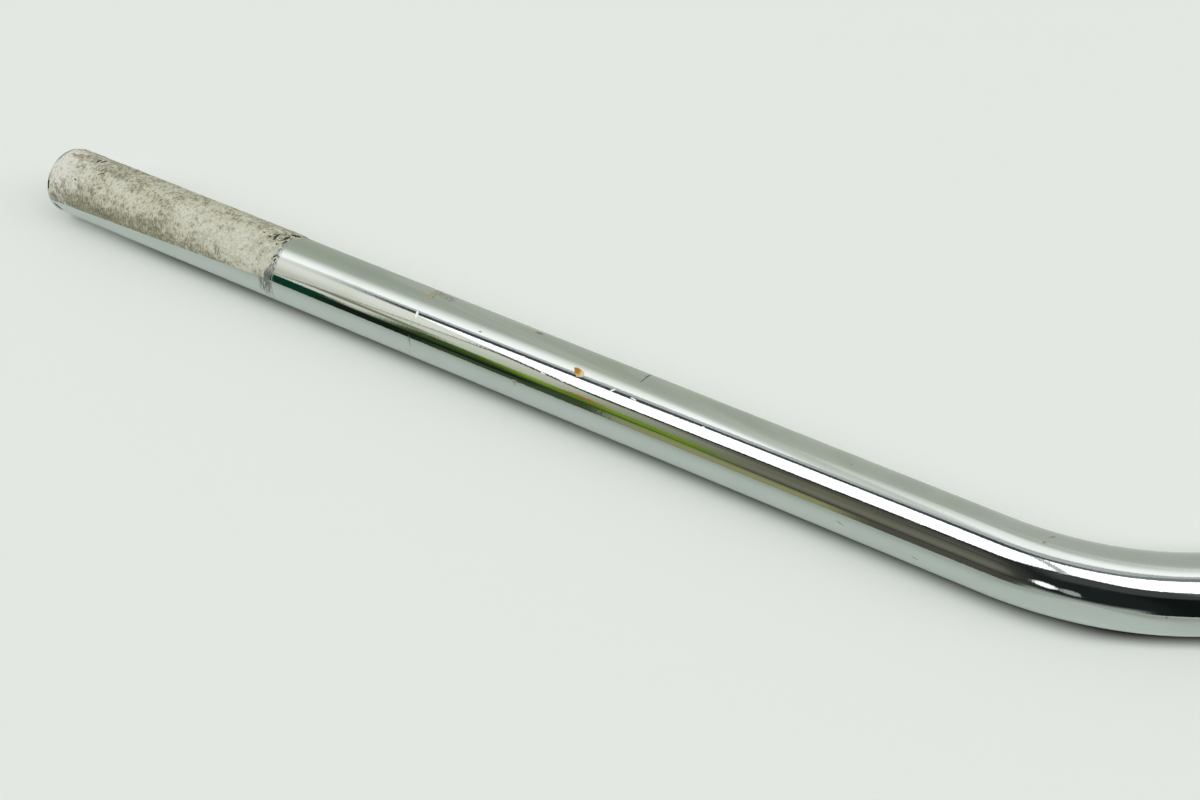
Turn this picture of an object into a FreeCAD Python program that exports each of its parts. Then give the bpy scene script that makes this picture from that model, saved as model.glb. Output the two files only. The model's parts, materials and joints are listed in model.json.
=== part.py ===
import FreeCAD
import Part
import Sketcher

import os

# Drag bar: one steel tube with a straight clamp section in the middle, a bend at each side of it and a
# straight arm past each bend. Both arms sweep back the same way, so the whole bar lies in one plane.
# Frame in millimetres: the origin is the middle of the clamp section, on the tube's centre line. +X runs
# along the clamp section, +Y is the way the arms sweep back, and +Z is up as the bar lies flat.

# Driving dimensions: name, value and meaning
DIMENSIONS = (
    ("tube_diameter", 25.4, "outside diameter of the tube, a one inch bar"),
    ("wall_thickness", 2.5, "wall of the tube"),
    ("clamp_straight", 120.0, "straight section between the two bends"),
    ("bend_radius", 132.0, "radius of each bend, on the centre line"),
    ("sweep_angle", 26.5, "turn of each bend, in degrees"),
    ("arm_straight", 367.0, "straight length of each arm, past its bend"),
    ("end_round", 0.8, "rounding of the outer edge at each open end"),
    ("bore_chamfer", 0.4, "break of the inner edge at each open end"),
)
NODE = "handlebar_tube"
UP = FreeCAD.Vector(0, 0, 1)
SAME_POINT = 1e-4

# Numbers of the points on a sketch's curve, and the sketch's own origin
FIRST_POINT, LAST_POINT, CENTRE_POINT = range(1, 4)
SKETCH_ORIGIN = (-1, FIRST_POINT)


def add_sheet(doc):
    """The spreadsheet that holds every driving dimension under its own name."""
    sheet = doc.addObject("Spreadsheet::Sheet", "dimensions")
    for row, (name, value, meaning) in enumerate(DIMENSIONS, start=1):
        sheet.set(f"A{row}", meaning)
        sheet.set(f"B{row}", str(value))
        sheet.setAlias(f"B{row}", name)
    doc.recompute()
    return sheet


def origin_plane(body, role):
    return next(feature for feature in body.Origin.OriginFeatures if feature.Role == role)


def add_sketch(body, name, plane_role):
    sketch = body.newObject("Sketcher::SketchObject", name)
    sketch.AttachmentSupport = (origin_plane(body, plane_role), [""])
    sketch.MapMode = "FlatFace"
    return sketch


def relate(sketch, *definition):
    return sketch.addConstraint(Sketcher.Constraint(*definition))


def dimension(sketch, name, expression, *definition):
    """A size of the sketch that follows the spreadsheet."""
    sketch.renameConstraint(relate(sketch, *definition), name)
    sketch.setExpression(f"Constraints.{name}", expression)


def centre_points(sheet):
    """Points on half of the centre line: bend start, bend middle, bend end and arm end."""
    bend_start = FreeCAD.Vector(sheet.clamp_straight / 2, 0, 0)
    bend_centre = bend_start + FreeCAD.Vector(0, sheet.bend_radius, 0)
    half_turn = FreeCAD.Rotation(UP, sheet.sweep_angle / 2)
    full_turn = FreeCAD.Rotation(UP, sheet.sweep_angle)
    bend_middle = bend_centre + half_turn.multVec(bend_start - bend_centre)
    bend_end = bend_centre + full_turn.multVec(bend_start - bend_centre)
    arm_end = bend_end + full_turn.multVec(FreeCAD.Vector(sheet.arm_straight, 0, 0))
    return bend_start, bend_middle, bend_end, arm_end


def draw_centre_line(body, sheet):
    """Half of the centre line, from the middle outwards: clamp section, bend and arm."""
    bend_start, bend_middle, bend_end, arm_end = centre_points(sheet)
    sketch = add_sketch(body, "centre_line", "XY_Plane")
    clamp = sketch.addGeometry(Part.LineSegment(FreeCAD.Vector(), bend_start))
    bend = sketch.addGeometry(Part.Arc(bend_start, bend_middle, bend_end))
    arm = sketch.addGeometry(Part.LineSegment(bend_end, arm_end))

    half_clamp = sheet.clamp_straight / 2
    sweep = FreeCAD.Units.Quantity(sheet.sweep_angle, FreeCAD.Units.Angle)
    relate(sketch, "Coincident", clamp, FIRST_POINT, *SKETCH_ORIGIN)
    relate(sketch, "Horizontal", clamp)
    relate(sketch, "Tangent", clamp, LAST_POINT, bend, FIRST_POINT)
    relate(sketch, "Tangent", bend, LAST_POINT, arm, FIRST_POINT)
    dimension(sketch, "half_clamp", "dimensions.clamp_straight / 2", "Distance", clamp, half_clamp)
    dimension(sketch, "bend", "dimensions.bend_radius", "Radius", bend, sheet.bend_radius)
    dimension(sketch, "arm", "dimensions.arm_straight", "Distance", arm, sheet.arm_straight)
    dimension(sketch, "sweep", "dimensions.sweep_angle * 1 deg", "Angle", arm, sweep)
    return sketch


def draw_section(body, sheet):
    """The tube's section, two circles about the centre line."""
    sketch = add_sketch(body, "section", "YZ_Plane")
    bore = sheet.tube_diameter - 2 * sheet.wall_thickness
    sizes = (
        ("outside", sheet.tube_diameter, "dimensions.tube_diameter"),
        ("inside", bore, "dimensions.tube_diameter - 2 * dimensions.wall_thickness"),
    )
    for name, diameter, expression in sizes:
        circle = sketch.addGeometry(Part.Circle(FreeCAD.Vector(), UP, diameter / 2))
        relate(sketch, "Coincident", circle, CENTRE_POINT, *SKETCH_ORIGIN)
        dimension(sketch, name, expression, "Diameter", circle, diameter)
    return sketch


def end_edge(feature, radius, arm_end):
    """Name of the circular edge of this radius at the open end of the arm."""
    for index, edge in enumerate(feature.Shape.Edges, start=1):
        if not isinstance(edge.Curve, Part.Circle):
            continue
        if abs(edge.Curve.Radius - radius) < SAME_POINT and edge.Curve.Center.isEqual(arm_end, SAME_POINT):
            return f"Edge{index}"
    raise RuntimeError(f"no end edge of radius {radius}")


def build_tube(doc, sheet):
    """The bar: half of the tube swept along its centre line, its end dressed, then mirrored."""
    body = doc.addObject("PartDesign::Body", NODE)
    body.Label = NODE

    half_bar = body.newObject("PartDesign::AdditivePipe", "half_bar")
    half_bar.Spine = (draw_centre_line(body, sheet), ["Edge1", "Edge2", "Edge3"])
    half_bar.Profile = draw_section(body, sheet)
    doc.recompute()

    arm_end = centre_points(sheet)[-1]
    outer_radius = sheet.tube_diameter / 2
    rounded_end = body.newObject("PartDesign::Fillet", "rounded_end")
    rounded_end.Base = (half_bar, [end_edge(half_bar, outer_radius, arm_end)])
    rounded_end.setExpression("Radius", "min(dimensions.end_round; dimensions.wall_thickness / 2)")
    doc.recompute()

    broken_bore = body.newObject("PartDesign::Chamfer", "broken_bore")
    broken_bore.Base = (rounded_end, [end_edge(rounded_end, outer_radius - sheet.wall_thickness, arm_end)])
    broken_bore.setExpression("Size", "min(dimensions.bore_chamfer; dimensions.wall_thickness / 4)")
    doc.recompute()

    both_arms = body.newObject("PartDesign::Mirrored", "both_arms")
    both_arms.TransformMode = "Whole shape"
    both_arms.MirrorPlane = (origin_plane(body, "YZ_Plane"), [""])
    body.Tip = both_arms
    doc.recompute()
    return body


def check(doc, body):
    for item in doc.Objects:
        if {"Invalid", "Error"} & set(item.State):
            raise RuntimeError(f"{item.Label} failed: {item.State}")
    if body.Shape.isNull() or not body.Shape.isValid() or len(body.Shape.Solids) != 1:
        raise RuntimeError(f"{body.Label} is not one valid solid")


def main():
    doc = FreeCAD.newDocument("drag_bar")
    sheet = add_sheet(doc)
    tube = build_tube(doc, sheet)
    check(doc, tube)
    os.makedirs("parts", exist_ok=True)
    tube.Shape.exportStep(f"parts/{tube.Label}.step")
    print(f"{tube.Label}: {tube.Shape.Volume / 1000:.2f} cm3, {tube.Shape.BoundBox}")


main()
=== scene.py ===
import json
import math

import bmesh
import bpy
from mathutils import Euler, Matrix, Vector, noise
from mathutils.bvhtree import BVHTree


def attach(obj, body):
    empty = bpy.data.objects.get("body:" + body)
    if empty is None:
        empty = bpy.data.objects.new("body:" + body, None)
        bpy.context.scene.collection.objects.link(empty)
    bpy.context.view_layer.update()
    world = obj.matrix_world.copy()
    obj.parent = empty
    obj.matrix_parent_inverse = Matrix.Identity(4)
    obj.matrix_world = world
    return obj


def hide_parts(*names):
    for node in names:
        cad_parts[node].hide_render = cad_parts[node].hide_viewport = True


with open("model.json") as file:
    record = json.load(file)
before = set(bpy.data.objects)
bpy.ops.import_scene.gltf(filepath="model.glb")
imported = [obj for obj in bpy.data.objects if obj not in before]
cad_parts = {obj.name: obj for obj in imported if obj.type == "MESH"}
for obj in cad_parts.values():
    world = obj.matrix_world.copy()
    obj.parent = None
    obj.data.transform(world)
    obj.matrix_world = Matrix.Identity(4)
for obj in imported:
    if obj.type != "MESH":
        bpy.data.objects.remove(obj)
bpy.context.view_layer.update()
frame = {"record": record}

# Drag bar in a plain studio: a chromed tube, worn and lightly specked, with the dried glue of a grip on its
# left arm. Lengths are in metres, in the frame of the bar: the origin is the middle of the clamp section,
# +X runs along it, +Y is the way the arms sweep back and +Z is up.

MM = 0.001
MOUNTS = {mount["name"]: mount for mount in frame["record"]["mounts"]}

# The tube, from its mounts
CLAMP, SEAT, BORE = (MOUNTS[name] for name in ("clamp_section", "left_control_seat", "left_end_bore"))
TUBE_RADIUS = CLAMP["dims"]["r_mm"] * MM
BORE_RADIUS = BORE["dims"]["r_mm"] * MM
HALF_CLAMP = CLAMP["dims"]["length_mm"] * MM / 2
END_ROUND = 0.8 * MM
BORE_CHAMFER = 0.4 * MM
ARM_STRAIGHT = SEAT["dims"]["length_mm"] * MM + END_ROUND
SEAT_POINT = Vector(SEAT["pos_m"])
OUTWARD = Vector(SEAT["axis"])
SWEEP = math.atan2(OUTWARD.y, -OUTWARD.x)
CORNER = SEAT_POINT - OUTWARD * (SEAT_POINT.y / OUTWARD.y)
BEND_RADIUS = (-CORNER.x - HALF_CLAMP) / math.tan(SWEEP / 2)
BEND_END = CORNER + OUTWARD * (-CORNER.x - HALF_CLAMP)
ARM_END = BEND_END + OUTWARD * ARM_STRAIGHT

# Fineness of the tube's mesh
TUBE_FACETS = 128
BEND_STEPS = 32
ARM_STEPS = 12
ROUND_STEPS = 6
SAME_POINT = 0.01 * MM

# The camera that took the photograph, whose frame is 1200 by 800 pixels
PHOTO_WIDTH, PHOTO_HEIGHT = 1200, 800
FOCAL_PIXELS = 1157.6
SENSOR_WIDTH = 36.0
CAMERA_POINT = Vector((-241.80, -151.11, 323.56)) * MM
CAMERA_TURN = Euler((math.radians(34.635), 0, math.radians(-0.162)))
CLIP_START = 10 * MM

# Frame of the left arm: x runs inwards from its open end, y away from the camera and z up
ARM_FRAME = Matrix.LocRotScale(ARM_END, Euler((0, 0, -SWEEP)), None)


class Socket:
    """A value in a node tree. Python's operators on it add Math nodes."""

    def __init__(self, graph, output):
        self.graph = graph
        self.output = output

    def math(self, operation, *others):
        values = dict(enumerate((self, *others)))
        return self.graph.add("ShaderNodeMath", {"operation": operation}, values)

    def __add__(self, other):
        return self.math("ADD", other)

    def __radd__(self, other):
        return self.math("ADD", other)

    def __sub__(self, other):
        return self.math("SUBTRACT", other)

    def __rsub__(self, other):
        return self.graph.add("ShaderNodeMath", {"operation": "SUBTRACT"}, {0: other, 1: self})

    def __mul__(self, other):
        return self.math("MULTIPLY", other)

    def __truediv__(self, other):
        return self.math("DIVIDE", other)

    def __pow__(self, other):
        return self.math("POWER", other)

    def __abs__(self):
        return self.math("ABSOLUTE")

    def rise(self, low, high):
        """0 up to low, 1 from high on and a smooth step between."""
        ends = {"Value": self, "From Min": low, "From Max": high}
        return self.graph.add("ShaderNodeMapRange", {"interpolation_type": "SMOOTHSTEP"}, ends)

    def fall(self, low, high):
        """1 up to low and 0 from high on."""
        return 1 - self.rise(low, high)

    def within(self, low, high, soft):
        """1 between low and high, with soft edges."""
        return self.rise(low - soft, low + soft) * self.fall(high - soft, high + soft)


# Places of a Mix node's sockets when it mixes colours: the share, both colours and the result
MIX_SHARE, MIX_FIRST, MIX_SECOND, MIX_RESULT = 0, 6, 7, 2


class Graph:
    """The node tree of one finish, or of the world."""

    def __init__(self, owner):
        owner.use_nodes = True
        self.tree = owner.node_tree
        self.tree.nodes.clear()

    def add(self, kind, settings=None, values=None, output=0):
        """Adds a node: first its settings, then the values or links of its sockets. Gives one output."""
        node = self.tree.nodes.new(kind)
        for name, setting in (settings or {}).items():
            if name == "stops":
                self.set_stops(node.color_ramp.elements, setting)
            else:
                setattr(node, name, setting)
        for name, value in (values or {}).items():
            if isinstance(value, Socket):
                self.tree.links.new(value.output, node.inputs[name])
            elif node.inputs[name].type == "RGBA":
                node.inputs[name].default_value = (*value, 1.0)
            else:
                node.inputs[name].default_value = value
        return Socket(self, node.outputs[output]) if node.outputs else node

    def set_stops(self, elements, stops):
        while len(elements) < len(stops):
            elements.new(1.0)
        for element, (place, colour) in zip(elements, stops):
            element.position = place
            element.color = (*colour, 1.0)

    def mix(self, share, first, second):
        """A colour from first to second by share."""
        values = {MIX_SHARE: share, MIX_FIRST: first, MIX_SECOND: second}
        return self.add("ShaderNodeMix", {"data_type": "RGBA"}, values, output=MIX_RESULT)

    def parts(self, vector):
        """The x, y and z of a vector."""
        first = self.add("ShaderNodeSeparateXYZ", None, {0: vector})
        return [Socket(self, output) for output in first.output.node.outputs]

    def place(self):
        """The point on the piece, in the bar's frame."""
        return self.add("ShaderNodeTexCoord", output="Object")

    def into(self, point, location, rotation, scale):
        """The point in a frame with this place, turn and unit."""
        values = {"Vector": point, "Location": location, "Rotation": rotation, "Scale": scale}
        return self.add("ShaderNodeMapping", {"vector_type": "TEXTURE"}, values)

    def grain(self, point, scale, detail=3.0, roughness=0.5, stretch=(1, 1, 1)):
        """Noise from 0 to 1, in grains per unit of the point, drawn out along each axis by stretch."""
        drawn = self.into(point, (0, 0, 0), (0, 0, 0), stretch)
        values = {"Vector": drawn, "Scale": scale, "Detail": detail, "Roughness": roughness}
        return self.add("ShaderNodeTexNoise", None, values)

    def arm_place(self):
        """Millimetres from the left arm's open end, and millimetres round the tube from its top line."""
        point = self.into(self.place(), ARM_END, (0, 0, -SWEEP), (MM, MM, MM))
        along, across, up = self.parts(point)
        return point, along, across.math("ARCTAN2", up) * (TUBE_RADIUS / MM)

    def light_path(self, kind):
        """1 for rays of this kind, else 0."""
        return self.add("ShaderNodeLightPath", output=kind)

    def relief(self, strength, depth, height):
        """The facing of a surface with fine relief of this depth."""
        values = {"Strength": strength, "Distance": depth, "Height": height}
        return self.add("ShaderNodeBump", None, values)

    def principled(self, values):
        return self.add("ShaderNodeBsdfPrincipled", None, values)

    def surface(self, shader):
        """Ends the tree of a finish in this shader."""
        self.add("ShaderNodeOutputMaterial", None, {"Surface": shader})


def new_finish(name):
    material = bpy.data.materials.new(name)
    return material, Graph(material)


# Marks on the plating, each a streak between two pixels of the photograph, with its width in millimetres.
# The black dashes show on the glue too.
RUST_SPECKS = (
    ((1043, 542.5), (1045, 541.5), 0.9),
    ((1050, 537), (1054.5, 536), 0.7),
    ((512.5, 380), (515.5, 381.5), 0.8),
    ((513.5, 382), (514.5, 385), 0.4),
    ((850.5, 463.5), (851.5, 464.5), 0.6),
)
DARK_SCRATCHES = (
    ((650.5, 374.5), (644, 378.5), 0.8),
    ((645, 378), (640, 381.5), 0.5),
    ((537.6, 332.2), (541, 333.4), 1.6),
    ((432, 296.5), (433, 297), 0.5),
    ((479, 331), (481, 331.5), 0.45),
    ((911.5, 556), (917, 559), 0.35),
    ((836, 520.5), (843, 525), 0.3),
    ((1165.5, 617), (1166.5, 617.5), 0.5),
    ((408.2, 335), (410, 345), 0.3),
)
# Nicks in the plating, painted near white as their glints
NICKS_WITH_PAINTED_GLINTS = (
    ((522.5, 356), (525.5, 358), 0.5),
    ((541, 372), (544, 373.5), 0.4),
    ((559, 379), (563, 381), 0.4),
    ((611, 390), (614, 389), 0.6),
    ((631, 397.5), (635, 399.5), 0.5),
    ((702, 426.5), (703.5, 427), 0.5),
    ((416, 315.5), (417, 311.5), 0.9),
)
# A painted shade: a dark crescent at the open end's lower rim
RIM_PAINTED_SHADE = (((55.6, 204.2), (60.0, 207.6), 2.0),)
BLACK_DASHES = (
    ((273.6, 238.8), (279.4, 234.2), 0.85),
    ((269.0, 235.8), (269.8, 236.4), 0.8),
    ((263.0, 231.6), (264.2, 232.4), 0.5),
    ((275.8, 243.4), (276.4, 244.0), 0.65),
    ((273.5, 256.5), (276.8, 254.6), 0.7),
    ((273.6, 260.0), (275.2, 258.6), 0.6),
    ((284.0, 239.4), (288.6, 237.2), 1.1),
    ((292.0, 235.4), (298.0, 236.9), 1.6),
    ((282.6, 242.8), (286.0, 241.2), 0.8),
)

# How far a mark reaches in and out of the tube's surface, so that it shows on the glue too, and the
# fineness and strength of its ragged edge
MARK_DEPTH = 0.6 * MM
RAGGED_GRAIN = 1800
RAGGED_SHARE = 0.7


class Sight:
    """Finds where the camera sees the bar at a pixel of the photograph."""

    def __init__(self, tube):
        self.tree = BVHTree.FromBMesh(tube)

    def spot(self, pixel):
        """The point on the bar at the middle of this pixel, and the way its surface faces there."""
        x = (pixel[0] + 0.5 - PHOTO_WIDTH / 2) / FOCAL_PIXELS
        y = (PHOTO_HEIGHT / 2 - pixel[1] - 0.5) / FOCAL_PIXELS
        ray = CAMERA_TURN.to_matrix() @ Vector((x, y, -1))
        point, facing, _, _ = self.tree.ray_cast(CAMERA_POINT, ray)
        if point is None:
            raise ValueError(f"the bar isn't at pixel {pixel}")
        return point, facing


def streaks(graph, point, sight, marks, soft=0.25):
    """A mask of long specks, each an ellipsoid between its two pixels with a ragged edge."""
    ragged = graph.grain(point, RAGGED_GRAIN, 2.0) * RAGGED_SHARE - RAGGED_SHARE / 2
    mask = None
    for first, second, width in marks:
        (start, facing), (end, _) = sight.spot(first), sight.spot(second)
        along = end - start
        across = facing.cross(along).normalized()
        half_width = width * MM / 2
        scale = (along.length / 2 + half_width, half_width, half_width + MARK_DEPTH)
        axes = (along.normalized(), across, along.cross(across).normalized())
        turn = Matrix(axes).transposed().to_euler()
        inside = graph.into(point, (start + end) / 2, turn, scale)
        reach = graph.add("ShaderNodeVectorMath", {"operation": "LENGTH"}, {0: inside}, output=1)
        mark = (reach + ragged).fall(1 - soft, 1 + soft)
        mask = mark if mask is None else mask.math("MAXIMUM", mark)
    return mask


# The ring that a lever clamp left, the scuff past it, the end of the glue and the smears below that end, in
# millimetres along the arm and round it
CLAMP_RING = 162.0
RING_SIDES = (0.5, 10.5)
CLAMP_SCUFF = (163.5, 170.5)
SCUFF_SIDES = (4.5, 9.0)
GLUE_END = 103.4
NEAR_SIDES = (-11.5, 1.5)
WORN_SIDES = (-11.5, -1.0)
FAR_END = 97.4
FAR_END_SLANT = 0.8
FAR_SIDES = (1.0, 11.5)
SMEAR_ENDS = (99.0, 104.2)
SMEAR_SIDES = (-22.0, -10.5)

# Colours of the plate and of what lies on it
CHROME = (0.55, 0.575, 0.565)
HAZED_CHROME = (0.495, 0.52, 0.49)
DULLED = (0.30, 0.30, 0.26)
WORN_EDGE = (0.33, 0.36, 0.32)
TAN_RING = (0.35, 0.30, 0.15)
RUST = (0.24, 0.205, 0.115)
GREY_SMEAR = (0.135, 0.155, 0.12)
BLACKENED = (0.014, 0.014, 0.009)
SCORED = (0.09, 0.09, 0.075)
# The near white painted on the nicks as their glints
PAINTED_NICK_GLINT = (0.85, 0.86, 0.85)


def end_strokes(graph, point, along, around):
    """Dark strokes where the grip ended: round the tube at the glue's edge, slanting on the far side."""
    wobble = graph.grain(point, 0.7, 2.0) * 2.4 - 1.2
    round_tube = graph.grain(point, 1.15, 3.0, 0.6, (0.5, 1.7, 1.7)).rise(0.49, 0.57)
    lengthwise = graph.grain(point, 1.15, 3.0, 0.6, (1.5, 0.55, 0.55)).rise(0.50, 0.57)
    near = abs(along + wobble - GLUE_END).fall(0.7, 1.9)
    near = near * around.within(*NEAR_SIDES, 1.0) * round_tube * 0.8
    far = abs(along + wobble - FAR_END - around * FAR_END_SLANT).fall(1.6, 4.2)
    far = far * around.within(*FAR_SIDES, 1.0) * lengthwise
    return near.math("MAXIMUM", far)


def chrome_plate(sight):
    """Polished chrome with wiping haze, hairlines, a clamp's ring, smears by the glue, nicks and rust,
    with painted glints on the nicks and a painted shade at the open end's rim.
    """
    material, graph = new_finish("chrome_plate")
    place = graph.place()
    point, along, around = graph.arm_place()

    haze = graph.grain(place, 55, 5.0, 0.6, (2.5, 1, 1)).rise(0.42, 0.75)
    hairline = graph.grain(place, 420, 2.0, 0.5, (14, 1, 1)).rise(0.60, 0.72)
    peel = graph.grain(place, 1300, 2.0)
    colour = graph.mix(haze * 0.6, CHROME, HAZED_CHROME)
    roughness = 0.026 + haze * 0.03 + hairline * 0.05
    metallic = 1.0

    wobble = graph.grain(point, 0.9, 3.0) - 0.5
    past_ring = along + wobble - CLAMP_RING
    tan = past_ring.rise(-0.6, 0.0) * past_ring.fall(0.6, 2.0 + around.rise(4.0, 8.0) * 2.5)
    tan = tan * around.within(*RING_SIDES, 1.5)
    glint = abs(past_ring).fall(0.3, 0.9) * graph.grain(point, 1.4, 2.0).rise(0.45, 0.6)
    scratches = graph.grain(point, 1.5, 3.0, 0.6, (1.4, 0.55, 0.55)).rise(0.50, 0.57)
    scuff = along.within(*CLAMP_SCUFF, 1.0) * around.within(*SCUFF_SIDES, 1.5) * scratches

    brushed = graph.grain(point, 0.95, 3.0, 0.6, (0.45, 2.4, 2.4))
    thinning = around.rise(-23.5, -15.0) * 0.12
    smears = along.within(*SMEAR_ENDS, 1.0) * around.within(*SMEAR_SIDES, 1.2)
    smears = smears * (brushed + thinning).rise(0.50, 0.60)
    strokes = end_strokes(graph, point, along, around)
    dashes = streaks(graph, place, sight, BLACK_DASHES)
    worn = abs(along + wobble - GLUE_END).fall(0.8, 1.8) * around.within(*WORN_SIDES, 1.0)

    for mask, tint, dullness, metal in (
        (glint * 0.2, DULLED, 0.3, 1.0),
        (tan * 0.8, TAN_RING, 0.5, 0.1),
        (scuff * 0.8, SCORED, 0.45, 0.4),
        (smears * 0.92, GREY_SMEAR, 0.55, 0.0),
        (worn * 0.5, WORN_EDGE, 0.4, 0.6),
        (strokes.math("MAXIMUM", dashes) * 0.95, BLACKENED, 0.6, 0.0),
        # nicks, with their glints painted near white
        (streaks(graph, place, sight, NICKS_WITH_PAINTED_GLINTS), PAINTED_NICK_GLINT, 0.5, 0.2),
        (streaks(graph, place, sight, DARK_SCRATCHES) * 0.8, SCORED, 0.5, 0.3),
        # painted shade at the lower rim of the open end
        (streaks(graph, place, sight, RIM_PAINTED_SHADE) * 0.85, BLACKENED, 0.6, 0.0),
        (streaks(graph, place, sight, RUST_SPECKS, 0.5) * 0.85, RUST, 0.85, 0.0),
    ):
        colour = graph.mix(mask, colour, tint)
        roughness = roughness + mask * (dullness - roughness)
        metallic = metallic + mask * (metal - metallic)

    height = peel * 1.2 - hairline * 0.3 - scuff - strokes - smears
    bump = graph.relief(0.25, 0.02 * MM, height)
    graph.surface(graph.principled({
        "Base Color": colour,
        "Metallic": metallic,
        "Roughness": roughness,
        "Normal": bump,
    }))
    return material


# Colours in the bore
DRAWN_DARK = (0.10, 0.095, 0.09)
DRAWN_PALE = (0.17, 0.165, 0.16)
BROWN_FILM = (0.13, 0.065, 0.032)


def bore_steel():
    """Bare drawn steel inside the tube: dark, streaked along the bore, with a film of brown rust."""
    material, graph = new_finish("bore_steel")
    place = graph.place()
    film = graph.grain(place, 130, 5.0, 0.6).rise(0.38, 0.66)
    drawn = graph.grain(place, 900, 2.0, 0.5, (12, 1, 1))
    steel = graph.mix(drawn, DRAWN_DARK, DRAWN_PALE)
    colour = graph.mix(film * 0.75, steel, BROWN_FILM)
    bump = graph.relief(0.4, 0.05 * MM, film + drawn)
    graph.surface(graph.principled({
        "Base Color": colour,
        "Metallic": 0.85 - film * 0.7,
        "Roughness": 0.42 + film * 0.4,
        "Normal": bump,
    }))
    return material


# Colours of the glue
CREAM = (0.62, 0.62, 0.48)
CHALK = (0.79, 0.785, 0.715)
# A dark film of grime and its flecks, also painted as the shade on the far side and the darkening towards
# the lower edge
DARK_FILM_AND_SHADE = (0.265, 0.26, 0.168)
GRIME = (0.13, 0.125, 0.08)
STAIN = (0.40, 0.345, 0.205)

# Stains in the glue, as streaks between two pixels with a width in millimetres
TAN_STAINS = (
    ((80, 156), (90, 159), 4.2),
    ((53, 190), (57, 199), 1.8),
    ((60, 200), (74, 205), 1.6),
)
GRIMY_STAINS = (
    ((96, 168), (104, 171), 2.4),
    ((87, 203), (108, 215), 3.4),
    ((113, 174), (125, 179), 2.6),
    ((148, 225), (156, 229), 3.0),
    ((215, 246), (218, 250), 2.0),
    ((72, 154), (77, 155.5), 0.7),
)
BLACK_MARKS = (
    ((97, 162), (100.5, 160.5), 1.0),
    ((101, 162.5), (106, 161.5), 1.1),
    ((74.5, 178.5), (75.5, 179.5), 0.6),
    ((98, 174), (104, 173), 0.5),
)
CHALK_PATCHES = (
    ((118, 186), (130, 198), 4.5),
    ((95, 190), (104, 194), 2.6),
    ((178, 207), (204, 221), 5.0),
)


def dried_glue(sight):
    """Dry grip glue: matte cream, mottled with grime, chalky at the open end and stained at its edges,
    darker towards its lower edge, and with a painted shade on its far side.
    """
    material, graph = new_finish("dried_glue")
    place = graph.place()
    point, along, around = graph.arm_place()
    blotch = graph.grain(point, 0.12, 4.0, 0.6, (1.4, 1, 1))
    mottle = graph.grain(point, 0.45, 5.0, 0.62)
    fleck = graph.grain(point, 1.3, 3.0, 0.6)
    fibre = graph.grain(point, 1.2, 4.0, 0.65, (0.6, 1.6, 1.6))

    soiled = blotch * 0.36 + mottle * 0.42 + fibre * 0.22
    # Darker towards the coat's lower edge
    low_edge = around.fall(-15.5, -9.5) * (0.25 + along.fall(55, 90) * 0.75)
    # A painted shade on the far side, near the open end
    far_side_shade = along.within(9, 34, 4) * around.rise(-1, 3)
    smooth = along.rise(58, 86) * around.within(-13, 1, 3)
    upper = along.within(38, 62, 5) * around.within(0, 9, 2)
    bare = streaks(graph, place, sight, CHALK_PATCHES, 0.8)
    open_end = along.fall(3, 11) * around.fall(-1, 4)
    clean = smooth * 0.05 + bare * 0.03 + upper * 0.03 + open_end * 0.1
    film = (soiled + low_edge * 0.09 + far_side_shade * 0.045 - clean).rise(0.42, 0.62)
    grime = (fibre * 0.55 + fleck * 0.45 + film * 0.09 - smooth * 0.05).rise(0.51, 0.655)
    chalk = along.fall(4, 24) * 0.75 + fleck.rise(0.5, 0.66) * 0.4 + bare * 0.35 + smooth * 0.4
    tan = streaks(graph, place, sight, TAN_STAINS, 0.6) * mottle.rise(0.34, 0.52)
    patch = streaks(graph, place, sight, GRIMY_STAINS, 0.6) * fibre.rise(0.36, 0.56)

    colour = graph.mix(chalk.math("MINIMUM", 1.0), CREAM, CHALK)
    colour = graph.mix(tan * 0.85, colour, STAIN)
    # The dark film: grime mottling, with the darkening towards the lower edge and the painted shade on the
    # far side
    colour = graph.mix(film * 0.74, colour, DARK_FILM_AND_SHADE)
    colour = graph.mix(fleck.rise(0.32, 0.68) * (0.19 + smooth * 0.2), colour, DARK_FILM_AND_SHADE)
    colour = graph.mix(grime * 0.62, colour, GRIME)
    colour = graph.mix(patch * 0.6, colour, GRIME)
    black = streaks(graph, place, sight, BLACK_MARKS + BLACK_DASHES)
    colour = graph.mix(black * 0.95, colour, BLACKENED)
    colour = graph.mix(end_strokes(graph, point, along, around) * 0.85, colour, BLACKENED)
    height = fleck + fibre * 0.8 - grime * 0.4
    bump = graph.relief(0.7, 0.14 * MM, height)
    graph.surface(graph.principled({
        "Base Color": colour,
        "Roughness": 0.82 + fleck * 0.14,
        "Specular IOR Level": 0.25,
        "Normal": bump,
    }))
    return material


# Colours of the chip
AMBER = (0.41, 0.185, 0.012)
BLEACHED = (0.72, 0.62, 0.34)


def amber_flake():
    """A chip of old varnish: amber brown, bleached pale at its inner and lower sides."""
    material, graph = new_finish("amber_flake")
    point, along, around = graph.arm_place()
    speckle = graph.grain(point, 1.1, 3.0, 0.6) * 1.2 - 0.6
    inner, lower = along - FLAKE_PALE_FROM, FLAKE_PALE_BELOW - around
    bleached = (inner.math("MAXIMUM", lower) + speckle).rise(-0.5, 0.9)
    colour = graph.mix(bleached, AMBER, BLEACHED)
    graph.surface(graph.principled({
        "Base Color": colour,
        "Roughness": 0.45 + bleached * 0.3,
        "Specular IOR Level": 0.25,
    }))
    return material


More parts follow.
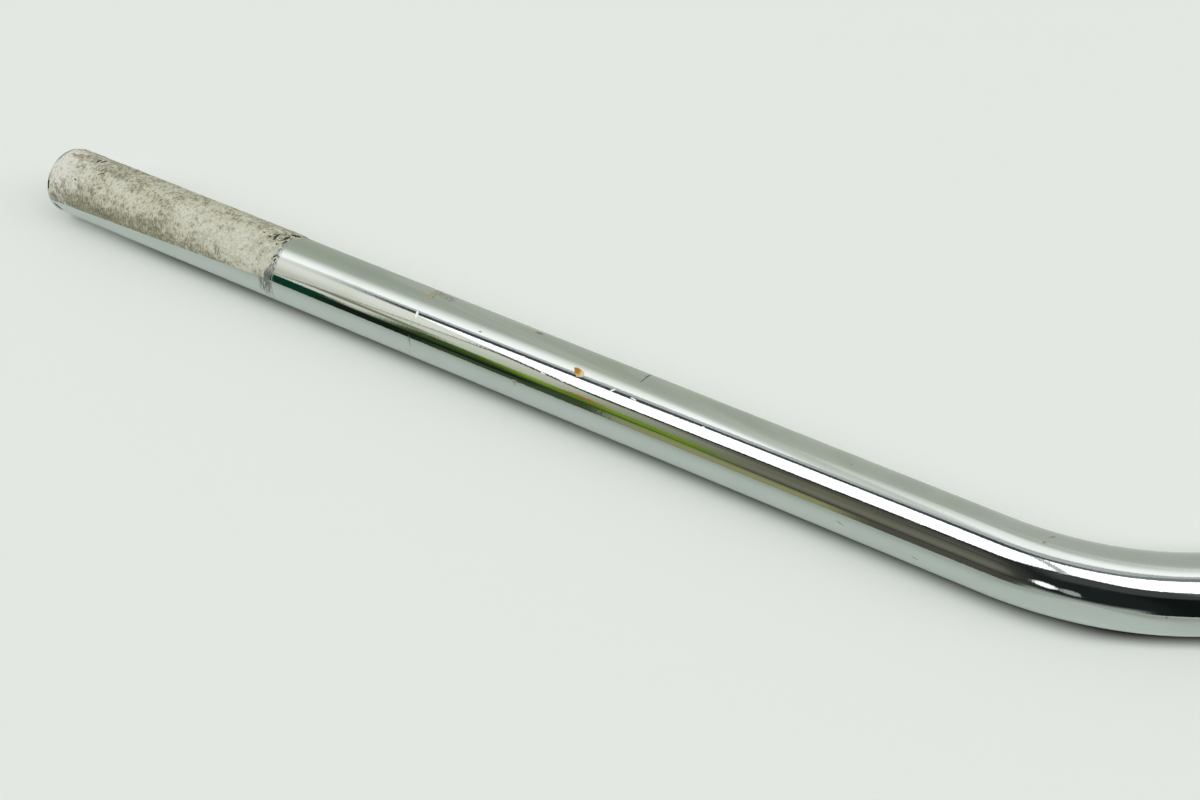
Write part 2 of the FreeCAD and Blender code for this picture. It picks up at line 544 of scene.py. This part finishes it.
# The board that the bar lies on, as far as the chrome mirrors it: it ends at a slanting edge on the left
# and a margin behind the bar, and dims away from the bar
BOARD_EDGE = 2 * MM
BOARD_FRONT = -0.261
BOARD_SLANT = 0.564
BOARD_LEFT = -0.265
BOARD_MARGIN = 0.032
BOARD_NEAR = (0.78, 0.87, 0.80)
BOARD_FAR = (0.55, 0.62, 0.545)

# The shade where the bar meets the floor, by the distance from the bar's centre line: a soft shade,
# a narrow line in it and a closer shade at the clamp section. The centre line is rounded at each bend.
SHADE_FROM, LINE_TO, SHADE_TO = 5.5 * MM, 9 * MM, 16 * MM
CLOSE_FROM, CLOSE_TO = 7.4 * MM, 13.5 * MM
LINE_ROUNDING = 44.6 * MM

# Where each shade ends, in metres to either side of the bar's middle, and where the board dims
PRESSED_SPAN = (0.055, 0.15)
LINE_SPAN = (0.16, 0.24)
CLOSE_SPAN = (0.075, 0.10)
SHADE_SPAN = (0.40, 0.45)
MIRRORED_SPAN = (0.05, 0.08)
UNDIMMED_SPAN = (0.06, 0.13)
DIMMING = (-0.13, -0.01)

# The floor's two tones
FLOOR_TONES = ((0.795, 0.83, 0.79), (0.81, 0.845, 0.805))


def pale_floor():
    """The plain floor. The chrome mirrors it as far as the board's edges, and the studio past them."""
    material, graph = new_finish("pale_floor")
    place = graph.place()
    x, y, _ = graph.parts(place)
    mirrored = graph.light_path("Is Glossy Ray")
    sideways = abs(x)
    past_corner = sideways + CORNER.x
    behind = y - past_corner.math("SMOOTH_MAX", 0.0, LINE_ROUNDING) * math.tan(SWEEP)
    front = (y + x * BOARD_SLANT).rise(BOARD_FRONT - BOARD_EDGE, BOARD_FRONT + BOARD_EDGE)
    front = front.math("MAXIMUM", x.rise(BOARD_LEFT - BOARD_EDGE, BOARD_LEFT + BOARD_EDGE))
    back = behind.fall(BOARD_MARGIN - BOARD_EDGE, BOARD_MARGIN + BOARD_EDGE)
    beyond = mirrored * (1 - front * back)
    away = abs(behind) * (1 - past_corner.rise(-0.03, 0.03) * (1 - math.cos(SWEEP)))
    pressed = sideways.fall(*PRESSED_SPAN)
    shade = away.fall(SHADE_FROM, SHADE_TO) ** (2 - pressed) * (0.78 + pressed * 0.22)
    line = away.fall(SHADE_FROM, LINE_TO) * sideways.fall(*LINE_SPAN) * (0.5 + pressed * 0.3)
    shade = shade + (1 - shade) * line
    shade = shade + sideways.fall(*CLOSE_SPAN) * (away.fall(CLOSE_FROM, CLOSE_TO) - shade)
    shade = shade * sideways.fall(*SHADE_SPAN) * (1 - mirrored)
    shade = shade + mirrored * sideways.fall(*MIRRORED_SPAN) * 0.1
    dimmed = behind.fall(*DIMMING) * (1 - sideways.within(*UNDIMMED_SPAN, 0.015) * 0.8)
    colour = graph.mix(graph.grain(place, 2.0, 2.0), *FLOOR_TONES)
    colour = graph.mix(mirrored, colour, graph.mix(dimmed, BOARD_NEAR, BOARD_FAR))
    colour = graph.mix(shade, colour, (0, 0, 0))
    paint = graph.principled({"Base Color": colour, "Roughness": 0.75, "Specular IOR Level": 0.2})
    clear = graph.add("ShaderNodeBsdfTransparent")
    graph.surface(graph.add("ShaderNodeMixShader", None, {0: beyond, 1: paint, 2: clear}))
    return material


def new_verts(made):
    return [item for item in made if isinstance(item, bmesh.types.BMVert)]


def new_edges(made):
    return [item for item in made if isinstance(item, bmesh.types.BMEdge)]


def start_ring(bm, radius):
    """A ring round the centre line in the middle of the clamp section."""
    across = Matrix.Rotation(math.pi / 2, 4, "Y")
    made = bmesh.ops.create_circle(bm, segments=TUBE_FACETS, radius=radius, matrix=across)
    return list({edge for vert in made["verts"] for edge in vert.link_edges})


def run(bm, ring, step):
    """Extrudes a ring of edges by one straight step and gives the new ring."""
    made = bmesh.ops.extrude_edge_only(bm, edges=ring)["geom"]
    verts = new_verts(made)
    bmesh.ops.translate(bm, verts=verts, vec=step)
    fresh = set(verts)
    return [edge for edge in new_edges(made) if fresh.issuperset(edge.verts)]


def bend(bm, ring):
    """Spins a ring round the left bend, from the clamp section to the arm."""
    centre = Vector((-HALF_CLAMP, BEND_RADIUS, 0))
    geom = ring + list({vert for edge in ring for vert in edge.verts})
    made = bmesh.ops.spin(bm, geom=geom, cent=centre, axis=(0, 0, -1), angle=SWEEP, steps=BEND_STEPS)
    return new_edges(made["geom_last"])


def wall(bm, radius):
    """One wall of the left half of the tube, from its middle to its open end. Gives the end's ring."""
    ring = run(bm, start_ring(bm, radius), Vector((-HALF_CLAMP, 0, 0)))
    ring = bend(bm, ring)
    for _ in range(ARM_STEPS):
        ring = run(bm, ring, OUTWARD * (ARM_STRAIGHT / ARM_STEPS))
    return ring


def dress(bm, edges, width, steps):
    """Breaks or rounds these edges."""
    values = {"offset_type": "OFFSET", "affect": "EDGES", "profile": 0.5, "material": -1}
    bmesh.ops.bevel(bm, geom=edges, offset=width, segments=steps, clamp_overlap=True, **values)


def rim_edges(bm, radius):
    """The ring of edges of this radius at the left arm's open end."""
    return [
        edge for edge in bm.edges
        if all(abs((vert.co - ARM_END).length - radius) < SAME_POINT for vert in edge.verts)
        and all(abs((vert.co - ARM_END).dot(OUTWARD)) < SAME_POINT for vert in edge.verts)
    ]


def shape_tube():
    """The whole tube: outer wall and bore, joined at the open end's rim, dressed there and mirrored."""
    bm = bmesh.new()
    outer_end = wall(bm, TUBE_RADIUS)
    plated = set(bm.faces)
    wall(bm, BORE_RADIUS)
    for face in set(bm.faces) - plated:
        face.material_index = 1
    rim = new_verts(bmesh.ops.extrude_edge_only(bm, edges=outer_end)["geom"])
    shrink = BORE_RADIUS / TUBE_RADIUS
    bmesh.ops.scale(bm, verts=rim, vec=(shrink, shrink, shrink), space=Matrix.Translation(-ARM_END))
    bmesh.ops.remove_doubles(bm, verts=bm.verts, dist=SAME_POINT)
    bmesh.ops.recalc_face_normals(bm, faces=bm.faces)
    dress(bm, rim_edges(bm, BORE_RADIUS), BORE_CHAMFER, 1)
    dress(bm, rim_edges(bm, TUBE_RADIUS), END_ROUND, ROUND_STEPS)
    geom = bm.verts[:] + bm.edges[:] + bm.faces[:]
    bmesh.ops.mirror(bm, geom=geom, matrix=Matrix(), axis="X", merge_dist=SAME_POINT)
    bmesh.ops.remove_doubles(bm, verts=bm.verts, dist=SAME_POINT)
    bmesh.ops.recalc_face_normals(bm, faces=bm.faces)
    return bm


# The dried glue, in millimetres along the arm from its open end and degrees round the tube from its top.
# Its inner end lies further in on the far side and less far on the near side, and it thins at its edges.
GLUE_START = 1.3
GLUE_REACH = 103.0
END_SPREAD = 1.5
FAR_SHELF, SHELF_FROM, SHELF_OVER = 2.0, 4.0, 22.0
NEAR_CUT, CUT_FROM, CUT_OVER = 2.2, 30.0, 30.0
GLUE_LENGTH = 106.5
END_THINNING = 0.8
SIDE_THINNING = 1 / 30
GLUE_LOW_EDGE = (-84.0, -64.0)
GLUE_HIGH_EDGE = (84.0, 66.0)
GLUE_ROWS = 280
GLUE_COLUMNS = 96
GLUE_THICKNESS = 0.2 * MM
GLUE_BUILD = 0.34 * MM
BUILD_FROM, BUILD_OVER = 5.0, 40.0
GLUE_ROOT = 0.6 * MM
GLUE_SEED = Vector((3.1, 7.7, 1.9))

# Shares of the coat's thickness at its edge, inside it and by its roughness, and the wobble of its sides
EDGE_SHARE, COAT_SHARE, ROUGH_SHARE = 0.06, 0.64, 0.3
SIDE_WOBBLE = 0.7


def share_of(value, over):
    """The value as a share of over, held from 0 to 1."""
    return max(0.0, min(1.0, value / over))


def ragged_end(turn):
    """How far along the arm the glue reaches at this turn round the tube, in millimetres."""
    spread = noise.fractal(Vector((turn * 0.07, 0, 0)) + GLUE_SEED, 1.0, 2.1, 5)
    shelf = FAR_SHELF * share_of(turn - SHELF_FROM, SHELF_OVER)
    cut = NEAR_CUT * share_of(-turn - CUT_FROM, CUT_OVER)
    return GLUE_REACH + shelf - cut + spread * END_SPREAD


def shape_glue():
    """A thin uneven coat on the left arm's upper side, ragged at its inner end and rooted in the wall."""
    bm = bmesh.new()
    grid = bmesh.ops.create_grid(bm, x_segments=GLUE_ROWS, y_segments=GLUE_COLUMNS, size=0.5)
    for vert in grid["verts"]:
        share, side = vert.co.x + 0.5, vert.co.y + 0.5
        low = GLUE_LOW_EDGE[0] + share * (GLUE_LOW_EDGE[1] - GLUE_LOW_EDGE[0])
        high = GLUE_HIGH_EDGE[0] + share * (GLUE_HIGH_EDGE[1] - GLUE_HIGH_EDGE[0])
        turn = low + side * (high - low)
        along = GLUE_START + share * (ragged_end(turn) - GLUE_START)
        rough = noise.fractal(Vector((along * 0.35, turn * 0.08, 0)) + GLUE_SEED, 0.9, 2.0, 4)
        from_end = min(share, 1 - share) * GLUE_LENGTH
        from_side = min(side, 1 - side)
        edge = min(from_end / END_THINNING, from_side / SIDE_THINNING, 1.0)
        build = GLUE_THICKNESS + GLUE_BUILD * share_of(turn - BUILD_FROM, BUILD_OVER)
        uneven = COAT_SHARE + ROUGH_SHARE * max(-1.0, min(1.0, rough))
        radius = TUBE_RADIUS + build * (EDGE_SHARE + edge * uneven)
        wobble = SIDE_WOBBLE * noise.noise(Vector((along * 0.8, side, 4.0))) * (1 - 2 * side)
        angle = math.radians(turn + wobble)
        vert.co = ARM_FRAME @ Vector((along * MM, radius * math.sin(angle), radius * math.cos(angle)))
    underside = bmesh.ops.extrude_face_region(bm, geom=bm.faces[:], use_keep_orig=True)["geom"]
    for vert in new_verts(underside):
        inward = vert.co - ARM_END
        from_axis = inward - OUTWARD * inward.dot(OUTWARD)
        vert.co -= from_axis.normalized() * GLUE_ROOT
    bmesh.ops.recalc_face_normals(bm, faces=bm.faces)
    return bm


# The chip's outline as pixels of the photograph, its thickness, and where it turns pale in millimetres
# along the arm and round it
FLAKE_OUTLINE = (
    (573.6, 366.6),
    (577.6, 367.0),
    (583.2, 371.0),
    (584.2, 373.2),
    (581.4, 377.0),
    (576.2, 376.6),
    (573.9, 373.2),
)
FLAKE_THICKNESS = 0.3 * MM
FLAKE_BEVEL = 0.12 * MM
FLAKE_BEVEL_STEPS = 3
FLAKE_TAPER = 0.9
FLAKE_PALE_FROM = 224.4
FLAKE_PALE_BELOW = -3.9


def shape_flake(sight):
    """A three cornered chip that lies on the tube, thickest in its middle."""
    bm = bmesh.new()
    spots = [sight.spot(pixel) for pixel in FLAKE_OUTLINE]
    middle = sum((point for point, _ in spots), Vector()) / len(spots)
    facing = sum((way for _, way in spots), Vector()).normalized()
    base = bm.faces.new([bm.verts.new(point - facing * FLAKE_BEVEL) for point, _ in spots])
    top = bmesh.ops.extrude_face_region(bm, geom=[base], use_keep_orig=True)["geom"]
    lifted = new_verts(top)
    bmesh.ops.translate(bm, verts=lifted, vec=facing * (FLAKE_THICKNESS + FLAKE_BEVEL))
    bmesh.ops.scale(bm, verts=lifted, vec=[FLAKE_TAPER] * 3, space=Matrix.Translation(-middle))
    crest = [edge for edge in new_edges(top) if all(vert in lifted for vert in edge.verts)]
    dress(bm, crest, FLAKE_BEVEL, FLAKE_BEVEL_STEPS)
    bmesh.ops.recalc_face_normals(bm, faces=bm.faces)
    return bm


SHARP_ANGLE = math.radians(32)


def add_piece(name, bm, *materials):
    mesh = bpy.data.meshes.new(name)
    bm.to_mesh(mesh)
    bm.free()
    mesh.shade_smooth()
    mesh.set_sharp_from_angle(angle=SHARP_ANGLE)
    for material in materials:
        mesh.materials.append(material)
    piece = bpy.data.objects.new(name, mesh)
    bpy.context.scene.collection.objects.link(piece)
    return piece


def add_bar():
    tube = shape_tube()
    sight = Sight(tube)
    glue = shape_glue()
    flake = shape_flake(sight)
    bar = add_piece("chromed_tube", tube, chrome_plate(sight), bore_steel())
    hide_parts("handlebar_tube")
    coat = add_piece("grip_glue", glue, dried_glue(sight))
    chip = add_piece("varnish_flake", flake, amber_flake())
    for piece in (bar, coat, chip):
        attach(piece, "root")


FLOOR_SIZE = 12.0


def add_floor():
    bm = bmesh.new()
    bmesh.ops.create_grid(bm, x_segments=1, y_segments=1, size=FLOOR_SIZE / 2)
    bmesh.ops.translate(bm, verts=bm.verts, vec=(0, 0, -TUBE_RADIUS))
    floor = add_piece("floor", bm, pale_floor())


# The studio round the bar, as levels of light where 1 is white
BACKDROP = (0.745, 0.783, 0.738)
OVERHEAD_LIGHT = 2.15
FRONT_LIGHT = 0.16
FAR_LIGHT = 0.45
OVERHEAD_FROM, OVERHEAD_TO = -0.75, 0.07

# What the chrome mirrors: walls and cards by their turn and height in degrees, and panels overhead
FRONT_WALL = (0.60, 0.645, 0.54)
FRONT_SHADE = (0.50, 0.56, 0.455)
RIGHT_WALL = (0.66, 0.70, 0.64)
LEFT_WALL = (1.14, 1.14, 1.03)
LOW_LEFT_WALL = (0.60, 0.60, 0.50)
DUSK_FROM, DUSK_TO = -121, -172
DIM_BACK = (
    (0.086, (0.93, 0.95, 0.83)),
    (0.224, (0.73, 0.74, 0.60)),
    (0.302, (0.50, 0.53, 0.40)),
    (0.492, (0.22, 0.215, 0.155)),
    (0.759, (0.175, 0.173, 0.135)),
    (0.88, (0.07, 0.07, 0.06)),
    (1.0, (0.022, 0.026, 0.026)),
)
DARK_BACK = (0.020, 0.024, 0.024)
NIGHT = (0.009, 0.0115, 0.011)
DIM_RAIL = (0.095, 0.10, 0.097)
LOW_PALE = (0.55, 0.60, 0.54)
LEAF_GREEN = (0.27, 0.44, 0.035)
LEAF_SHADE = (0.05, 0.10, 0.02)
LOW_TAN = (0.40, 0.40, 0.20)
LOW_DARK = (0.012, 0.02, 0.012)
LOW_GREEN = (0.065, 0.095, 0.045)
DUSK_STREAK = (0.42, 0.41, 0.33)
TAN_LEDGE = (0.22, 0.20, 0.095)
DEEP_GREEN = (0.006, 0.055, 0.03)
ORANGE_CARD = (0.62, 0.15, 0.005)
PALE_CARD = (2.0, 2.0, 1.95)
PALE_CARDS = ((-172.1, 23.5, 1.0), (-178.0, 21.0, 0.25))
CARD_HALF_TURN, CARD_HALF_HEIGHT = 3.0, 6.5
CORNER_LINE = (0.11, 0.105, 0.085)
CORNER_SLOPE = 0.56
CORNER_SHIFT = 0.01

# Panels on a level plane one unit overhead, x to the right and y away from the camera
SOFT_PANEL = (1.62, 1.63, 1.60)
GAP = (0.66, 0.69, 0.69)
DARK_SEAM = (0.07, 0.09, 0.095)
BRIGHT_PANEL = (2.4, 2.42, 2.42)
PANEL_FRONT = -0.092
PANEL_BACK = -0.567
PANEL_LEFT = -0.62
PANEL_RIGHT = 0.95
SEAM_WIDTH = 0.138
GAP_WIDTH = 0.235
PANE_SEAM = 0.16
PANEL_SLANT, SLANT_FROM = 0.25, 0.3
PANEL_EDGE = 0.025


class Studio:
    """The light from each direction, painted layer by layer."""

    def __init__(self, graph):
        self.graph = graph
        self.way = graph.add("ShaderNodeTexCoord", output="Generated")
        x, y, z = graph.parts(self.way)
        rise = z.math("MAXIMUM", 0.03)
        self.right, self.ahead = x / rise, y / rise
        self.turn = x.math("ARCTAN2", y) * math.degrees(1)
        self.height = z.math("ARCSINE") * math.degrees(1)
        self.light = None

    def paint(self, share, colour):
        self.light = self.graph.mix(share, self.light, colour)

    def paint_walls(self):
        scale = {"W": self.turn, "Scale": 0.3, "Detail": 4.0}
        streak = self.graph.add("ShaderNodeTexNoise", {"noise_dimensions": "1D"}, scale)
        worn = [level * 0.9 for level in FRONT_WALL]
        self.light = self.graph.mix(streak.rise(0.4, 0.6), worn, FRONT_WALL)
        self.paint(self.turn.fall(-6, 4), FRONT_SHADE)
        self.paint(self.turn.rise(5, 60), RIGHT_WALL)
        self.paint(self.turn.fall(-85, -30), LEFT_WALL)
        self.paint(self.height.rise(22, 60) * 0.1, SOFT_PANEL)

    def paint_back(self):
        """Behind the camera: dusk with leaves past the left wall's corner, and dark on the right."""
        turn, height = self.turn, self.height
        corner = self.ahead - self.right * CORNER_SLOPE + CORNER_SHIFT
        reach = 1 + abs(self.right)
        behind = (corner / reach).fall(-0.012, 0.004) * turn.fall(-100, -90)
        span = {"Value": turn, "From Min": DUSK_FROM, "From Max": DUSK_TO}
        dusk = self.graph.add("ShaderNodeMapRange", None, span)
        dim = self.graph.add("ShaderNodeValToRGB", {"stops": DIM_BACK}, {"Fac": dusk})
        self.paint(behind, dim)
        shade = self.graph.grain(self.way, 26, 3.0).rise(0.44, 0.56)
        shade = shade * 0.5 + turn.rise(-134, -127) + height.fall(12, 21) * turn.rise(-140, -135)
        leaves = self.graph.mix(shade.math("MINIMUM", 1.0), LEAF_GREEN, LEAF_SHADE)
        self.paint(turn.within(-145, -126, 2) * height.within(10, 26, 3), leaves)
        self.paint(turn.within(-137.4, -135.0, 0.5) * height.within(25.8, 29.2, 1), ORANGE_CARD)
        self.paint(turn.within(-164, -149, 4) * height.fall(10, 22) * 0.45, DARK_BACK)
        self.paint(turn.within(-152, -139.8, 1.6) * height.fall(7, 12), LOW_TAN)
        self.paint(turn.within(-164, -145, 2) * height.within(21, 31, 3) * 0.22, DUSK_STREAK)
        self.paint(turn.within(-166, -153, 3) * height.within(38.5, 44, 3) * 0.5, DARK_BACK)
        self.paint(turn.within(-166, -137, 1.5) * height.within(12.8, 16, 1) * 0.55, LOW_DARK)
        self.paint(turn.within(-127, -119.5, 1) * height.within(24.5, 31, 1.5) * 0.85, TAN_LEDGE)
        line = (corner / reach).within(-0.014, 0.004, 0.005) * turn.fall(-100, -90)
        self.paint(line * (0.6 + self.right.rise(-0.86, -0.70) * 0.4), CORNER_LINE)
        self.paint(turn.within(-119, -80, 3) * height.fall(18, 52), LOW_LEFT_WALL)
        self.paint(turn.within(-138.8, -121, 1.6) * height.fall(10, 15), LOW_DARK)
        self.paint(turn.within(-138.8, -130, 1.6) * height.fall(1.5, 7), LOW_GREEN)
        self.paint(turn.within(-138.8, -135.4, 0.8) * height.fall(8, 14), LOW_GREEN)
        self.paint(turn.within(-124.5, -80, 1) * height.fall(15, 17.5), DEEP_GREEN)
        self.paint(turn.rise(128, 146), DARK_BACK)
        self.paint(turn.within(140, 161, 5), NIGHT)
        self.paint(abs(turn).rise(164, 170) * height.fall(0.5, 12), LOW_PALE)
        for card_turn, card_height, share in PALE_CARDS:
            oval = ((turn - card_turn) / CARD_HALF_TURN) ** 2
            oval = oval + ((height - card_height) / CARD_HALF_HEIGHT) ** 2
            self.paint(oval.fall(0.3, 1.3) * share, PALE_CARD)

    def paint_panels(self):
        """A soft and a bright panel overhead, with a grey gap and a dark seam between them."""
        right, ahead = self.right, self.ahead
        right_only, left_only = right.math("MAXIMUM", 0.0), right.math("MINIMUM", 0.0)
        front_edge = PANEL_FRONT + right_only * right_only * 0.8 + left_only * left_only * 0.12
        step = right.within(-0.24, 0.05, 0.06) * 0.03
        front_edge = front_edge + step
        seam_width = SEAM_WIDTH - step - right.within(0.15, 0.43, 0.06) * 0.05
        back_edge = PANEL_BACK + right.rise(-0.15, 0.17) * 0.14 - right.rise(0.18, 0.32) * 0.045
        back_edge = back_edge + right.rise(0.36, 0.48) * 0.02
        past = ahead - front_edge
        overhead = self.height.rise(24, 34)
        slanted = right - (ahead + SLANT_FROM) * PANEL_SLANT
        across = slanted.within(PANEL_LEFT, PANEL_RIGHT, PANEL_EDGE) * overhead
        gap_reach = right.fall(PANEL_RIGHT - PANEL_EDGE, PANEL_RIGHT + PANEL_EDGE)
        gap_reach = slanted.rise(-0.85, -0.52) * gap_reach * overhead
        pane_seam = abs(right - PANE_SEAM - ahead * 0.12)
        dip = right.within(0.01, 0.22, 0.05) * 0.64 + right.within(0.1, 0.4, 0.06) * 0.1

        fade = 0.93 - right.within(0.50, 0.68, 0.06) * 0.22 - right.rise(0.6, 0.75) * 0.07
        soft = past.fall(0.27, fade) * past.rise(0.1, 0.22) * right.within(-1.0, 1.2, 0.3) * overhead
        self.paint(soft * (1 - dip), SOFT_PANEL)
        self.paint(past.within(0, GAP_WIDTH, 0.02) * gap_reach, GAP)
        seam = past.within(0, seam_width, 0.015) * slanted.rise(-0.70, -0.60) * gap_reach.rise(0, 0.5)
        self.paint(seam * (1 - right.rise(0.1, 0.5) * 0.4), DARK_SEAM)
        below = ahead - back_edge
        self.paint(below.within(-0.32, 0.0, 0.06) * right.within(-0.72, -0.1, 0.1) * 0.45, DARK_BACK)
        self.paint(below.within(-0.42, 0.0, 0.08) * right.rise(-0.1, 0.06) * across * 0.8, DIM_RAIL)
        self.paint(below.within(-0.11, 0.0, 0.02) * across * right.fall(-0.1, 0.1) * 0.9, DARK_BACK)
        beside = slanted.within(PANEL_LEFT - 0.06, PANEL_LEFT + 0.01, 0.02)
        beside = beside * ahead.within(PANEL_BACK - 0.15, -0.35, 0.06)
        self.paint(beside * overhead * 0.95, DARK_BACK)
        bright = past.fall(-0.012, 0.012) * below.rise(-0.015, 0.015) * across
        self.paint(bright, BRIGHT_PANEL)
        self.paint(bright * pane_seam.fall(0.012, 0.026), GAP)

    def plain(self):
        """Even light for what isn't mirrored: strong overhead, weaker from the front and the far side."""
        sides = self.graph.mix(self.ahead.fall(-0.3, 0.3), [FAR_LIGHT] * 3, [FRONT_LIGHT] * 3)
        overhead = self.ahead.within(OVERHEAD_FROM, OVERHEAD_TO, 0.08)
        return self.graph.mix(overhead, sides, [OVERHEAD_LIGHT] * 3)


def light_studio():
    """A plain studio: the chrome mirrors its walls and panels, and the rest takes its even light."""
    world = bpy.data.worlds.new("studio")
    bpy.context.scene.world = world
    graph = Graph(world)
    studio = Studio(graph)
    studio.paint_walls()
    studio.paint_back()
    studio.paint_panels()
    even, mirrored, shown = (
        graph.add("ShaderNodeBackground", None, {"Color": colour})
        for colour in (studio.plain(), studio.light, BACKDROP)
    )
    for kind, light in (("Is Glossy Ray", mirrored), ("Is Camera Ray", shown)):
        even = graph.add("ShaderNodeMixShader", None, {0: graph.light_path(kind), 1: even, 2: light})
    graph.add("ShaderNodeOutputWorld", None, {"Surface": even})


def add_camera():
    data = bpy.data.cameras.new("camera")
    data.sensor_fit = "HORIZONTAL"
    data.sensor_width = SENSOR_WIDTH
    data.lens = FOCAL_PIXELS / PHOTO_WIDTH * SENSOR_WIDTH
    data.clip_start = CLIP_START
    camera = bpy.data.objects.new("camera", data)
    camera.location = CAMERA_POINT
    camera.rotation_euler = CAMERA_TURN
    bpy.context.scene.collection.objects.link(camera)
    bpy.context.scene.camera = camera


add_bar()
add_floor()
light_studio()
add_camera()
bpy.context.scene.view_settings.view_transform = "Standard"
